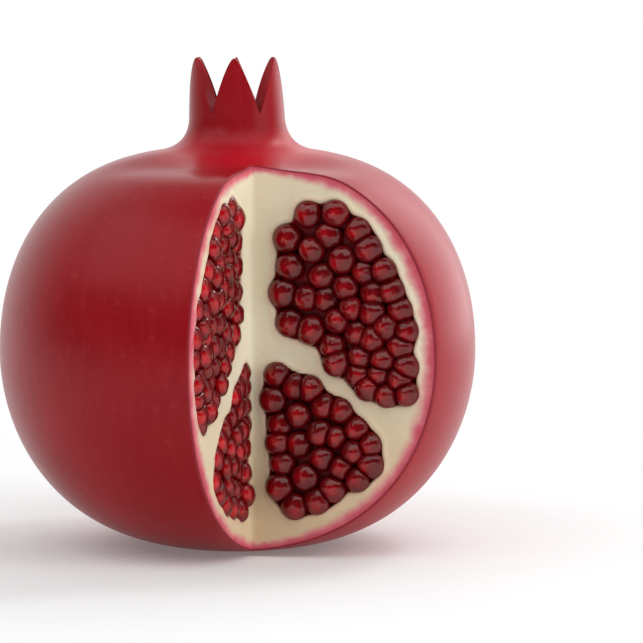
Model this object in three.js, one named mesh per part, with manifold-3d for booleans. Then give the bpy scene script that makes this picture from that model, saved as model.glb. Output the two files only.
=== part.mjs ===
// An open pomegranate: one grown husk with a wedge cut out of its front, and the arils
// that sit in rows in the four seed chambers which the two cut faces lay open.
// Millimetres, +Z up. The origin is the middle of the flat rest face under the fruit,
// on the fruit's own axis. The wedge is missing towards -Y and +X.

import * as THREE from "three";
import { mergeVertices } from "three/addons/utils/BufferGeometryUtils.js";
import Module from "manifold-3d";

const wasm = await Module();
wasm.setup();

// ---- Driving dimensions -------------------------------------------------------------

// The body of the fruit: a superellipse below the equator and another above it.
const EQUATOR_RADIUS = 55;
const EQUATOR_HEIGHT = 45.1; // above the rest face
const TOP_RISE = 47.25; // from the equator to where the top would meet the axis
const FOOT_RADIUS = 13; // flat rest face
const BELLY_POWERS = { radius: 2.69, height: 1.93 };
const SHOULDER_POWERS = { radius: 2.88, height: 2.11 };
const FRONT_DIP = 2.3; // the shoulder sinks this far in front of the crown
const DIP_FORWARD = { from: 8, to: 22 }; // how far in front of the axis it sets in
const DIP_RADIUS = { from: 24, to: 37 }; // where it fades away outwards

// The crown: a short tube of joined sepals with pointed tips.
const CROWN_RADIUS = 11;
const CROWN_TAPER = 0.6; // the tips stand this much nearer the axis
const CROWN_RISE = 20.4; // tips above the top of the body
const CROWN_WALL = 3.3; // round the cup and at the sepals' feet
const TIP_WALL = 0.9;
const CROWN_LEAN = -0.45; // sideways shift of the tips
const NECK_FLARE = 7; // how far the neck spreads on to the shoulder
const NECK_RISE = 1; // how far it climbs within that
const SEPALS = 6;
const SEPAL_LENGTH = 13;
const SEPAL_FULLNESS = { front: 1.45, side: 1.55, others: 1.02 }; // 1 gives straight edges
const VALLEY_FLOOR = 0.06; // share of the sepal length left between two sepals
const CUP_DEPTH = 6; // from the valleys down to the floor of the crown's cup
const CUP_CORNER = 3; // rounding between the cup's wall and its floor

// The notch that the removed wedge left: two upright cut faces that meet in one edge.
const NOTCH_CORNER = { x: 3.6, y: -20.9 };
const LEFT_FACE_TURN = 21.4; // degrees from straight ahead, towards -X
const RIGHT_FACE_TURN = 75.3; // degrees from straight ahead, towards +X

// The seed chambers and the arils in them.
const RIND = 3.2; // from the skin to a chamber, measured along a cut face
const ARIL_WIDTH = 5.3; // usual spacing along a row
const ARIL_OVERLAP = 0.4; // how far neighbours in one row grow into each other
const ARIL_PROUD = 2.2; // how far an aril stands out of the cut face
const ARIL_ROOT = 4.4; // how far it reaches into the pith
const ROW_GAP = 0.5; // between the arils of one row and those of the next
const WALL_GAP = 0.3; // between an aril and the wall or floor of its chamber

// The dried stamens in the crown.
const STAMEN_RADIUS = 5.8;
const STAMEN_HEIGHT = 5;

// How finely round shapes are divided.
const TURN_STEPS = 72;
const BODY_STEPS = 12;
const NECK_STEPS = 5;
const OUTLINE_STEPS = 28;
const ARIL_SIDES = 6;

// A chamber's outline is a closed smooth curve through [across, up] points. Across runs
// from the notch's corner edge, 0, to the inside of the rind, 1. Up is a share of the
// height of the body. The outlines are those of the four chambers that the cuts open.
const CHAMBERS = {
  upper_right: {
    face: "right",
    rows: 10,
    outline: [
      [0.13, 0.57], [0.13, 0.8], [0.3, 0.88], [0.62, 0.89], [0.88, 0.87], [0.94, 0.8],
      [0.98, 0.66], [1, 0.53], [1, 0.43], [0.96, 0.36], [0.7, 0.39], [0.52, 0.44],
      [0.42, 0.5], [0.24, 0.53],
    ],
  },
  lower_right: {
    face: "right",
    rows: 7,
    outline: [
      [0.09, 0.47], [0.24, 0.46], [0.4, 0.43], [0.6, 0.38], [0.8, 0.3], [0.91, 0.23],
      [0.86, 0.16], [0.62, 0.11], [0.32, 0.11], [0.15, 0.16], [0.09, 0.3],
    ],
  },
  upper_left: {
    face: "left",
    rows: 10,
    outline: [
      [0.22, 0.6], [0.24, 0.79], [0.5, 0.88], [0.8, 0.88], [0.94, 0.81], [0.98, 0.68],
      [1, 0.56], [1, 0.44], [0.94, 0.34], [0.72, 0.37], [0.52, 0.44], [0.31, 0.52],
    ],
  },
  lower_left: {
    face: "left",
    rows: 7,
    outline: [
      [0.06, 0.46], [0.24, 0.45], [0.38, 0.39], [0.57, 0.34], [0.78, 0.26], [0.92, 0.19],
      [0.86, 0.14], [0.52, 0.1], [0.24, 0.11], [0.08, 0.17], [0.06, 0.3],
    ],
  },
};

// ---- Looks --------------------------------------------------------------------------

const skinLook = () =>
  new THREE.MeshStandardMaterial({ color: 0x8e2a2f, roughness: 0.42, metalness: 0 });
const arilLook = () =>
  new THREE.MeshStandardMaterial({ color: 0x6e0d14, roughness: 0.14, metalness: 0 });
const stamenLook = () =>
  new THREE.MeshStandardMaterial({ color: 0x8a5a3c, roughness: 0.85, metalness: 0 });

// ---- Solids -------------------------------------------------------------------------

function solidOf(geometry) {
  const bare = geometry.index ? geometry.toNonIndexed() : geometry.clone();
  bare.deleteAttribute("normal");
  bare.deleteAttribute("uv");
  const merged = mergeVertices(bare, 1e-3);
  const mesh = new wasm.Mesh({
    numProp: 3,
    vertProperties: merged.attributes.position.array,
    triVerts: new Uint32Array(merged.index.array),
  });
  return new wasm.Manifold(mesh);
}

function geometryOf(solid) {
  const mesh = solid.getMesh();
  const geometry = new THREE.BufferGeometry();
  geometry.setAttribute("position", new THREE.BufferAttribute(mesh.vertProperties, 3));
  geometry.setIndex(new THREE.BufferAttribute(mesh.triVerts, 1));
  geometry.computeVertexNormals();
  return geometry;
}

function namedMesh(name, geometry, material) {
  const mesh = new THREE.Mesh(geometry, material);
  mesh.name = name;
  return mesh;
}

// ---- The body's outer shape ---------------------------------------------------------

const BODY_HEIGHT = EQUATOR_HEIGHT + TOP_RISE;
const VALLEY_HEIGHT = BODY_HEIGHT + CROWN_RISE - SEPAL_LENGTH;
const CUP_FLOOR = VALLEY_HEIGHT - CUP_DEPTH;

// How much of the full height a superellipse still has at a share of its full radius.
function heightShare(radiusShare, powers) {
  return (1 - radiusShare ** powers.radius) ** (1 / powers.height);
}

// How much of the full radius it still has at a share of its full height.
function radiusShare(height, powers) {
  return (1 - height ** powers.height) ** (1 / powers.radius);
}

// The belly's superellipse is as deep as it takes to cross the rest face at the foot.
const BELLY_DEPTH = EQUATOR_HEIGHT / heightShare(FOOT_RADIUS / EQUATOR_RADIUS, BELLY_POWERS);

function bodyRadiusAt(height) {
  const above = height - EQUATOR_HEIGHT;
  if (above > 0) {
    return EQUATOR_RADIUS * radiusShare(above / TOP_RISE, SHOULDER_POWERS);
  }
  return EQUATOR_RADIUS * radiusShare(-above / BELLY_DEPTH, BELLY_POWERS);
}

function shoulderHeightAt(radius) {
  return EQUATOR_HEIGHT + TOP_RISE * heightShare(radius / EQUATOR_RADIUS, SHOULDER_POWERS);
}

function bellyHeightAt(radius) {
  return EQUATOR_HEIGHT - BELLY_DEPTH * heightShare(radius / EQUATOR_RADIUS, BELLY_POWERS);
}

// Points on the body from the foot's rim, over the equator, to the edge of the neck.
function bodyProfile() {
  const neckEdge = CROWN_RADIUS + NECK_FLARE;
  const belly = [];
  const shoulder = [];
  for (let i = 0; i <= BODY_STEPS; i += 1) {
    const reach = Math.cos((i / BODY_STEPS) * (Math.PI / 2));
    const low = FOOT_RADIUS + (EQUATOR_RADIUS - FOOT_RADIUS) * reach;
    const high = neckEdge + (EQUATOR_RADIUS - neckEdge) * reach;
    belly.push(new THREE.Vector2(low, bellyHeightAt(low)));
    shoulder.push(new THREE.Vector2(high, shoulderHeightAt(high)));
  }
  belly[BODY_STEPS].y = 0;
  return [...belly.reverse(), ...shoulder.slice(1)];
}

// The neck sweeps up from the shoulder into the outside of the crown.
function neckProfile() {
  const edge = CROWN_RADIUS + NECK_FLARE;
  const start = new THREE.Vector2(edge, shoulderHeightAt(edge));
  const bend = new THREE.Vector2(CROWN_RADIUS, start.y + NECK_RISE);
  const end = new THREE.Vector2(CROWN_RADIUS, VALLEY_HEIGHT);
  return new THREE.QuadraticBezierCurve(start, bend, end).getPoints(NECK_STEPS).slice(1);
}

// Radius of the crown's outside, and the thickness of its wall, at a share of the sepal
// length.
const crownRadiusAt = (share) => CROWN_RADIUS - CROWN_TAPER * share;
const crownWallAt = (share) => CROWN_WALL + (TIP_WALL - CROWN_WALL) * share ** 2;

// Over the tips, down the inside of the crown and across the floor of its cup.
function crownProfile() {
  const outside = [];
  const inside = [];
  [0.5, 1].forEach((share) => {
    const height = VALLEY_HEIGHT + SEPAL_LENGTH * share;
    outside.push(new THREE.Vector2(crownRadiusAt(share), height));
    inside.unshift(new THREE.Vector2(crownRadiusAt(share) - crownWallAt(share), height));
  });
  const cupRadius = CROWN_RADIUS - CROWN_WALL;
  const corner = new THREE.Vector2(cupRadius - CUP_CORNER, CUP_FLOOR + CUP_CORNER);
  const cup = [new THREE.Vector2(cupRadius, VALLEY_HEIGHT)];
  for (let i = 0; i <= 3; i += 1) {
    const turn = (i / 3) * (Math.PI / 2);
    const radius = corner.x + CUP_CORNER * Math.cos(turn);
    cup.push(new THREE.Vector2(radius, corner.y - CUP_CORNER * Math.sin(turn)));
  }
  return [...outside, ...inside, ...cup, new THREE.Vector2(0, CUP_FLOOR)];
}

// ---- Bending the turned shape into the grown one ------------------------------------

// The front sepal is a little fuller than straight, and the edges that meet to the left
// and right of the fruit are fuller still.
function sepalFullness(turns) {
  const away = Math.abs(turns);
  if (away < 0.5) {
    return SEPAL_FULLNESS.front;
  }
  return away > 1 && away < 2 ? SEPAL_FULLNESS.side : SEPAL_FULLNESS.others;
}

// Height of the crown's edge in a direction, as a share of the sepal length. One sepal
// points straight ahead.
function sepalShare(direction) {
  const pitch = (2 * Math.PI) / SEPALS;
  const turns = direction / pitch;
  const offset = Math.abs(turns - Math.round(turns)) * 2;
  return Math.max(1 - offset ** sepalFullness(turns), VALLEY_FLOOR);
}

// Lowers a point of the turned crown to its sepal's edge. It keeps its place between the
// outside and the inside of the wall, which is thicker lower down.
function shapeSepal(point) {
  const share = (point.z - VALLEY_HEIGHT) / SEPAL_LENGTH;
  const lowered = share * sepalShare(Math.atan2(point.x, -point.y));
  const radius = Math.hypot(point.x, point.y);
  const depth = (crownRadiusAt(share) - radius) / crownWallAt(share);
  const grown = crownRadiusAt(lowered) - depth * crownWallAt(lowered);
  point.x *= grown / radius;
  point.y *= grown / radius;
  point.z = VALLEY_HEIGHT + SEPAL_LENGTH * lowered;
}

function frontDip(point) {
  if (point.z < EQUATOR_HEIGHT) {
    return 0;
  }
  const forward = THREE.MathUtils.smoothstep(-point.y, DIP_FORWARD.from, DIP_FORWARD.to);
  const radius = Math.hypot(point.x, point.y);
  const near = 1 - THREE.MathUtils.smoothstep(radius, DIP_RADIUS.from, DIP_RADIUS.to);
  const high = Math.min((point.z - EQUATOR_HEIGHT) / TOP_RISE, 1);
  return FRONT_DIP * forward * near * high ** 2;
}

function grow(point) {
  if (point.z > VALLEY_HEIGHT) {
    shapeSepal(point);
  }
  const leaning = THREE.MathUtils.smoothstep(point.z, BODY_HEIGHT, BODY_HEIGHT + CROWN_RISE);
  point.x += CROWN_LEAN * leaning;
  point.z -= frontDip(point);
  return point;
}

// A lathe turns its profile round Y, so it is stood up on to Z first.
function wholeFruit() {
  const profile = [new THREE.Vector2(0, 0), ...bodyProfile(), ...neckProfile(), ...crownProfile()];
  const lathe = new THREE.LatheGeometry(profile, TURN_STEPS);
  lathe.rotateX(Math.PI / 2);
  const positions = lathe.attributes.position;
  const point = new THREE.Vector3();
  for (let i = 0; i < positions.count; i += 1) {
    grow(point.fromBufferAttribute(positions, i));
    positions.setXYZ(i, point.x, point.y, point.z);
  }
  return solidOf(lathe);
}

// ---- The notch ----------------------------------------------------------------------

// Horizontal directions along the two cut faces, from the corner edge to the skin.
const FACE_DIRECTION = {
  left: headingVector(-LEFT_FACE_TURN),
  right: headingVector(RIGHT_FACE_TURN),
};

function headingVector(degrees) {
  const turn = THREE.MathUtils.degToRad(degrees);
  return new THREE.Vector2(Math.sin(turn), -Math.cos(turn));
}

function notchPrism() {
  const reach = EQUATOR_RADIUS * 3;
  const corner = new THREE.Vector2(NOTCH_CORNER.x, NOTCH_CORNER.y);
  const outline = new THREE.Shape([
    corner,
    corner.clone().addScaledVector(FACE_DIRECTION.left, reach),
    corner.clone().addScaledVector(FACE_DIRECTION.right, reach),
  ]);
  const height = BODY_HEIGHT + CROWN_RISE;
  const prism = new THREE.ExtrudeGeometry(outline, { depth: height * 2, bevelEnabled: false });
  prism.translate(0, 0, -height / 2);
  return solidOf(prism);
}

// A cut face's own frame: +X across the face to the right, +Y up, +Z out of the fruit.
function faceFrame(face) {
  const direction = FACE_DIRECTION[face];
  const sign = face === "left" ? -1 : 1;
  const across = new THREE.Vector3(direction.x * sign, direction.y * sign, 0);
  const up = new THREE.Vector3(0, 0, 1);
  const out = new THREE.Vector3().crossVectors(across, up);
  const frame = new THREE.Matrix4().makeBasis(across, up, out);
  return frame.setPosition(NOTCH_CORNER.x, NOTCH_CORNER.y, 0);
}

// Distance along a cut face from the corner edge to the skin, at a height.
function faceWidthAt(face, height) {
  const direction = FACE_DIRECTION[face];
  const corner = new THREE.Vector2(NOTCH_CORNER.x, NOTCH_CORNER.y);
  const along = corner.dot(direction);
  const radius = bodyRadiusAt(height);
  return Math.sqrt(along ** 2 - corner.lengthSq() + radius ** 2) - along;
}

// ---- Chambers -----------------------------------------------------------------------

// A chamber's outline in its face's frame, in millimetres.
function chamberOutline({ face, outline }) {
  const sign = face === "left" ? -1 : 1;
  const points = outline.map(([across, up]) => {
    const height = up * BODY_HEIGHT;
    const inside = faceWidthAt(face, height) - RIND;
    return new THREE.Vector3(sign * across * inside, height, 0);
  });
  const curve = new THREE.CatmullRomCurve3(points, true);
  return curve.getPoints(OUTLINE_STEPS).slice(0, -1);
}

function chamberPocket(chamber) {
  const outline = new THREE.Shape(chamberOutline(chamber).map((p) => new THREE.Vector2(p.x, p.y)));
  const floor = ARIL_ROOT + WALL_GAP;
  const depth = floor + ARIL_PROUD;
  const pocket = new THREE.ExtrudeGeometry(outline, { depth, bevelEnabled: false });
  pocket.translate(0, 0, -floor);
  pocket.applyMatrix4(faceFrame(chamber.face));
  return solidOf(pocket);
}

function makeHusk() {
  let solid = wholeFruit().subtract(notchPrism());
  for (const chamber of Object.values(CHAMBERS)) {
    solid = solid.subtract(chamberPocket(chamber));
  }
  return namedMesh("husk", geometryOf(solid), skinLook());
}

// ---- Arils --------------------------------------------------------------------------

// Where a level line crosses a chamber's outline: its leftmost and rightmost points.
function levelSpan(outline, height) {
  const crossings = [];
  outline.forEach((from, i) => {
    const to = outline[(i + 1) % outline.length];
    if (from.y > height !== to.y > height) {
      const share = (height - from.y) / (to.y - from.y);
      crossings.push(from.x + (to.x - from.x) * share);
    }
  });
  return { low: Math.min(...crossings), high: Math.max(...crossings) };
}

// The room for a row inside the outline. An aril is a hexagon with a corner at each end
// of its width, so at its top and bottom it needs a quarter less at either end.
function rowSpan(outline, height, halfHeight) {
  const slack = ARIL_WIDTH / 4;
  const middle = levelSpan(outline, height);
  const upper = levelSpan(outline, height + halfHeight);
  const lower = levelSpan(outline, height - halfHeight);
  const low = Math.max(middle.low, upper.low - slack, lower.low - slack) + WALL_GAP * 2;
  const high = Math.min(middle.high, upper.high + slack, lower.high + slack) - WALL_GAP * 2;
  return { low, high };
}

// One aril: a faceted kernel with a domed end that stands out of the cut face.
function arilGeometry(halfWidth, halfHeight) {
  const profile = [
    [0, -ARIL_ROOT], [0.55, -ARIL_ROOT * 0.9], [0.92, -ARIL_ROOT * 0.4],
    [1, 0], [0.72, ARIL_PROUD * 0.72], [0, ARIL_PROUD],
  ];
  const points = profile.map(([share, height]) => new THREE.Vector2(share, height));
  const kernel = new THREE.LatheGeometry(points, ARIL_SIDES);
  kernel.rotateX(Math.PI / 2);
  kernel.rotateZ(Math.PI / 2);
  kernel.scale(halfWidth, halfHeight, 1);
  return kernel;
}

// The arils of one row, grown together side by side. Every second row is set half an
// aril further in, so that the arils lie between those of the rows above and below.
function rowGeometry(span, halfHeight, staggered) {
  const room = span.high - span.low;
  const count = Math.max(Math.round(room / ARIL_WIDTH - (staggered ? 0.5 : 0)), 1);
  const width = Math.min(room / (staggered ? count + 0.5 : count), ARIL_WIDTH * 1.25);
  const first = (span.low + span.high) / 2 - (width * (count - 1)) / 2;
  const halfWidth = width / 2 + (count > 1 ? ARIL_OVERLAP / 2 : 0);
  let row = null;
  for (let i = 0; i < count; i += 1) {
    const kernel = arilGeometry(halfWidth, halfHeight);
    kernel.translate(first + i * width, 0, 0);
    const solid = solidOf(kernel);
    row = row ? row.add(solid) : solid;
  }
  return geometryOf(row);
}

function addArilRows(name, chamber, faceGroup) {
  const outline = chamberOutline(chamber);
  const heights = outline.map((point) => point.y);
  const bottom = Math.min(...heights) + WALL_GAP;
  const top = Math.max(...heights) - WALL_GAP;
  const pitch = (top - bottom) / (chamber.rows + 0.4);
  const halfHeight = (pitch - ROW_GAP) / 2;
  for (let i = 0; i < chamber.rows; i += 1) {
    const height = top - pitch * (i + 0.7);
    const span = rowSpan(outline, height, halfHeight);
    const row = rowGeometry(span, halfHeight, i % 2 === 1);
    const mesh = namedMesh(`${name}_arils_row_${i + 1}`, row, arilLook());
    mesh.position.y = height;
    faceGroup.add(mesh);
  }
}

// ---- Stamens ------------------------------------------------------------------------

// The withered stamens stand as one tuft on the floor of the crown's cup.
function makeStamens() {
  const floor = CUP_FLOOR + WALL_GAP;
  const profile = [
    [0, 0], [0.62, 0], [0.9, 0.3], [1, 0.75], [0.8, 1], [0.4, 0.86], [0, 0.8],
  ];
  const points = profile.map(
    ([out, up]) => new THREE.Vector2(out * STAMEN_RADIUS, floor + up * STAMEN_HEIGHT),
  );
  const tuft = new THREE.LatheGeometry(points, TURN_STEPS / 4);
  tuft.rotateX(Math.PI / 2);
  return namedMesh("stamens", geometryOf(solidOf(tuft)), stamenLook());
}

// ---- The fruit ----------------------------------------------------------------------

const pomegranate = new THREE.Group();
pomegranate.add(makeHusk());
pomegranate.add(makeStamens());

for (const face of ["left", "right"]) {
  const faceGroup = new THREE.Group();
  faceGroup.applyMatrix4(faceFrame(face));
  pomegranate.add(faceGroup);
  for (const [name, chamber] of Object.entries(CHAMBERS)) {
    if (chamber.face === face) {
      addArilRows(name, chamber, faceGroup);
    }
  }
}

export default pomegranate;
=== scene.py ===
import math

import bpy
import numpy as np
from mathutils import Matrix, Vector


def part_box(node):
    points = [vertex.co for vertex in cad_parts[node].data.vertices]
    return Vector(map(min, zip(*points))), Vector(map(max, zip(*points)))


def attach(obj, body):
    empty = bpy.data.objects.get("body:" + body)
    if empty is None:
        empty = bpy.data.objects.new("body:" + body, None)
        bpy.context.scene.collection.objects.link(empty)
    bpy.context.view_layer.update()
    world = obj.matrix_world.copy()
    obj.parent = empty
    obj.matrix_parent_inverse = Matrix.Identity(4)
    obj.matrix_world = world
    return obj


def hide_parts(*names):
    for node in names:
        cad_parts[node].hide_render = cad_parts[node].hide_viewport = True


# The looks of an open pomegranate: a red, waxy husk with a wedge cut out of its front,
# cream pith, glassy arils in four chambers, a pointed crown and the stamens in its cup.
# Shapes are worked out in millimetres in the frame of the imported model.

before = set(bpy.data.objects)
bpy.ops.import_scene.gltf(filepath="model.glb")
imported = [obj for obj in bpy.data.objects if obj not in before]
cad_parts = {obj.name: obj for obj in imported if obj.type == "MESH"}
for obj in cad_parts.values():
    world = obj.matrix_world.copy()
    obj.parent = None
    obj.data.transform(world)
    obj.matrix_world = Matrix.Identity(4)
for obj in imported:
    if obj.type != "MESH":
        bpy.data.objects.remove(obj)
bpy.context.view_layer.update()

MM = 0.001
HUSK_LOW, HUSK_HIGH = (np.array(corner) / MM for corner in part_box("husk"))
RANDOM = np.random.default_rng(21)

# ---- Sizes of the fruit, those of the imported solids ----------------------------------

EQUATOR_RADIUS = (HUSK_HIGH[0] - HUSK_LOW[0]) / 2
EQUATOR_HEIGHT = 45.1
TOP_RISE = 47.25
FOOT_RADIUS = 13.0
BELLY_POWERS = (2.69, 1.93)  # of the radius and of the height
SHOULDER_POWERS = (2.88, 2.11)
FRONT_DIP = 2.3  # the shoulder sinks this far in front of the crown
DIP_FORWARD = (8.0, 22.0)  # where it sets in, in front of the axis
DIP_RADIUS = (24.0, 37.0)  # where it fades away outwards

CROWN_RADIUS = 11.0
CROWN_TAPER = 0.6
CROWN_WALL = 3.3
TIP_WALL = 0.9
CROWN_LEAN = -0.45
NECK_FLARE = 7.0
NECK_RISE = 1.0
SEPALS = 6
SEPAL_LENGTH = 13.0
SEPAL_FULLNESS = {"front": 1.45, "side": 1.55, "others": 1.02}
SEPAL_TIP_ROUND = 0.05
VALLEY_FLOOR = 0.02
LIP_RISE = 0.7  # how far the rounded edge of a sepal stands over its faces
LIP_STEPS = 10
LIP_SQUARENESS = 0.6  # 1 is a half circle, less is fuller
CUP_DEPTH = 6.0
CUP_CORNER = 3.0  # rounding between the cup's wall and its floor
CUP_CORNER_STEPS = 6
CUP_FLOOR_SAG = 0.05

NOTCH_CORNER = np.array([3.6, -20.9])
LEFT_FACE_TURN = -21.4  # degrees from straight ahead, positive towards +X
RIGHT_FACE_TURN = 75.3

ARIL_PROUD = {"right": 2.5, "left": 1.9}  # how far the domes stand out of a cut face
ARIL_ROOT = 4.2  # how far the arils reach behind it
ARIL_SPACING = {"right": (5.5, 5.5), "left": (4.0, 5.1)}  # across and up a cut face
RIND = 3.2  # from the skin to a chamber, measured along a cut face
POCKET_DEPTH = 2.1  # how deep the cut face sinks between the arils
PITH_SWELL = 0.3  # how far it stands up just round them

# Every aril adds to a field over its cut face. Between these strengths of the field the pith
# starts to swell and stops again, sinks into the pocket, flushes, and turns red.
SWELL_STARTS = (0.1, 0.3)
SWELL_STOPS = (0.34, 0.48)
POCKET_SINKS = (0.42, 0.68)
PITH_FLUSHES = (0.02, 0.36)
PITH_REDDENS = (0.36, 0.6)

PAINTED_SIDE_LIGHT = 0.5  # painted light and sheen: how pale the skin is painted towards the lit +X side and the crown
SIDE_LIGHT_CLIMB = 0.3  # share of the height that counts as distance towards +X
SIDE_LIGHT_PLACE = (40.0, 78.0)
# painted reflection: a more saturated red round the neck, where the shoulder mirrors the red
# crown instead of the lamps
PAINTED_NECK_REFLECTION = 0.75
NECK_REFLECTION_RADIUS = (17.0, 27.0)  # where it fades away outwards
NECK_REFLECTION_STARTS = (80.0, 88.0)  # heights
NECK_REFLECTION_STOPS = (92.0, 97.0)

# The outline of each chamber, as closed smooth curves through (across, up) points. Across
# runs from the corner edge, 0, to the inside of the rind, 1; up is a share of the height
# of the body.
CHAMBERS = {
    "upper_right": [
        (0.14, 0.56), (0.15, 0.75), (0.27, 0.83), (0.52, 0.875), (0.8, 0.865), (0.91, 0.79),
        (0.94, 0.67), (0.96, 0.54), (0.965, 0.45), (0.93, 0.385), (0.7, 0.41), (0.53, 0.455),
        (0.4, 0.51), (0.25, 0.535),
    ],
    "lower_right": [
        (0.09, 0.47), (0.24, 0.46), (0.4, 0.43), (0.6, 0.38), (0.8, 0.3), (0.91, 0.23),
        (0.86, 0.16), (0.62, 0.11), (0.32, 0.11), (0.15, 0.16), (0.09, 0.3),
    ],
    "upper_left": [
        (0.22, 0.6), (0.24, 0.79), (0.5, 0.88), (0.8, 0.88), (0.94, 0.81), (0.98, 0.68),
        (1, 0.56), (1, 0.44), (0.94, 0.34), (0.72, 0.37), (0.52, 0.44), (0.31, 0.52),
    ],
    "lower_left": [
        (0.06, 0.46), (0.24, 0.45), (0.38, 0.39), (0.57, 0.34), (0.78, 0.26), (0.92, 0.19),
        (0.86, 0.14), (0.52, 0.1), (0.24, 0.11), (0.08, 0.17), (0.06, 0.3),
    ],
}

BODY_HEIGHT = EQUATOR_HEIGHT + TOP_RISE
CROWN_TIP = HUSK_HIGH[2]
VALLEY_HEIGHT = CROWN_TIP - SEPAL_LENGTH
CUP_FLOOR = VALLEY_HEIGHT - CUP_DEPTH

# ---- Fine shape of the husk -------------------------------------------------------------

BODY_RINGS = 114  # from the foot to the equator, and again to the neck
NECK_RINGS = 18
SEPAL_RINGS = 20
SKIN_COLUMNS = 156
FACE_COLUMNS = 98
RIM_ROUND = 0.35  # rounding of the cut edge of the skin
CORNER_SOFT = 1.0  # fillet where the two cut faces meet
EDGE_STEPS = 4
LEAST_STEEPNESS = 0.15
SHARP_TURN = 60  # degrees; edges that turn more stay sharp


def smooth(value, low, high):
    """Rises from 0 at low to 1 at high along 3t^2 - 2t^3."""
    t = np.clip((value - low) / (high - low), 0, 1)
    return t * t * (3 - 2 * t)


def heading(degrees):
    """The horizontal direction that is turned by so many degrees from -Y towards +X."""
    turn = math.radians(degrees)
    return np.array([math.sin(turn), -math.cos(turn)])


FACES = {"left": heading(LEFT_FACE_TURN), "right": heading(RIGHT_FACE_TURN)}


def out_of_face(face):
    """The unit vector that points straight out of a cut face into the notch."""
    along = FACES[face]
    out = np.array([along[1], -along[0], 0.0])
    return out if face == "right" else -out


# ---- Meshes -----------------------------------------------------------------------------


def mesh_piece(name, points, faces, node, materials, attributes, face_material=None):
    """A piece from points in millimetres and faces as rows of point numbers, a triangle's
    last number being -1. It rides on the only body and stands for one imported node."""
    mesh = bpy.data.meshes.new(name)
    sizes = np.where(faces[:, 3] < 0, 3, 4)
    corners = faces.ravel()
    corners = corners[corners >= 0]
    mesh.vertices.add(len(points))
    mesh.vertices.foreach_set("co", (points * MM).ravel().astype(np.float32))
    mesh.loops.add(len(corners))
    mesh.loops.foreach_set("vertex_index", corners.astype(np.int32))
    mesh.polygons.add(len(faces))
    starts = np.concatenate([[0], np.cumsum(sizes)[:-1]])
    mesh.polygons.foreach_set("loop_start", starts.astype(np.int32))
    mesh.polygons.foreach_set("use_smooth", np.ones(len(faces), bool))
    for material in materials:
        mesh.materials.append(material)
    if face_material is not None:
        mesh.polygons.foreach_set("material_index", face_material.astype(np.int32))
    mesh.update(calc_edges=True)
    for key, values in attributes.items():
        kind = "FLOAT_VECTOR" if values.ndim == 2 else "FLOAT"
        layer = mesh.attributes.new(key, kind, "POINT")
        field = "vector" if values.ndim == 2 else "value"
        layer.data.foreach_set(field, values.ravel().astype(np.float32))
    mesh.validate()
    piece = bpy.data.objects.new(name, mesh)
    bpy.context.scene.collection.objects.link(piece)
    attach(piece, "root")
    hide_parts(node)
    return piece


def grid_faces(numbers, wrap):
    """Faces between the rows and columns of a grid of point numbers, anticlockwise when
    columns run to the right and rows upward. Faces that have shrunk to a line go, and
    those with one shared corner become triangles."""
    right = np.roll(numbers, -1, axis=1) if wrap else numbers[:, 1:]
    left = numbers if wrap else numbers[:, :-1]
    quads = np.stack([left[:-1], right[:-1], right[1:], left[1:]], -1).reshape(-1, 4)
    same = quads == np.roll(quads, -1, axis=1)
    full = quads[same.sum(1) == 0]
    pinched = quads[same.sum(1) == 1]
    drop = same[same.sum(1) == 1]
    triangles = pinched[~drop].reshape(-1, 3)
    closing = np.full((len(triangles), 1), -1)
    return np.vstack([full, np.hstack([triangles, closing])])


# ---- The husk ---------------------------------------------------------------------------


def height_share(radius_share, powers):
    """Superellipse: the height share left at a radius share."""
    return np.maximum(1 - radius_share ** powers[0], 0) ** (1 / powers[1])


BELLY_DEPTH = EQUATOR_HEIGHT / height_share(FOOT_RADIUS / EQUATOR_RADIUS, BELLY_POWERS)


def body_profile():
    """Radius and height from the middle of the foot to the edge of the neck. Radii go as
    the cosine of evenly spaced turns, so that rings lie evenly near the equator, and one
    ring meets the corner edge of the notch."""
    foot = np.array([[0.0, 0.0], [FOOT_RADIUS * 0.5, 0.0], [FOOT_RADIUS * 0.94, 0.0]])
    reach = np.cos(np.linspace(0, math.pi / 2, BODY_RINGS + 1))
    low = FOOT_RADIUS + (EQUATOR_RADIUS - FOOT_RADIUS) * reach
    neck = CROWN_RADIUS + NECK_FLARE
    high = neck + (EQUATOR_RADIUS - neck) * reach
    corner = np.hypot(*NOTCH_CORNER)
    high[np.abs(high - corner).argmin()] = corner
    belly = EQUATOR_HEIGHT - BELLY_DEPTH * height_share(low / EQUATOR_RADIUS, BELLY_POWERS)
    shoulder = EQUATOR_HEIGHT + TOP_RISE * height_share(high / EQUATOR_RADIUS, SHOULDER_POWERS)
    rising = np.stack([low, belly], 1)[::-1]
    closing = np.stack([high, shoulder], 1)[1:]
    return np.vstack([foot, rising, closing])


def neck_profile(start):
    """A quadratic curve that sweeps from the shoulder up into the outside of the crown."""
    bend = np.array([CROWN_RADIUS, start[1] + NECK_RISE])
    end = np.array([CROWN_RADIUS, VALLEY_HEIGHT])
    t = np.linspace(0, 1, NECK_RINGS + 1)[1:, None]
    return (1 - t) ** 2 * start + 2 * t * (1 - t) * bend + t**2 * end


def crown_radius(share):
    """Radius of the outside of the crown at a share of the sepal length."""
    return CROWN_RADIUS - CROWN_TAPER * share


def crown_wall(share):
    """Thickness of the crown's wall, which thins as the square of the share."""
    return CROWN_WALL + (TIP_WALL - CROWN_WALL) * share**2


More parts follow.
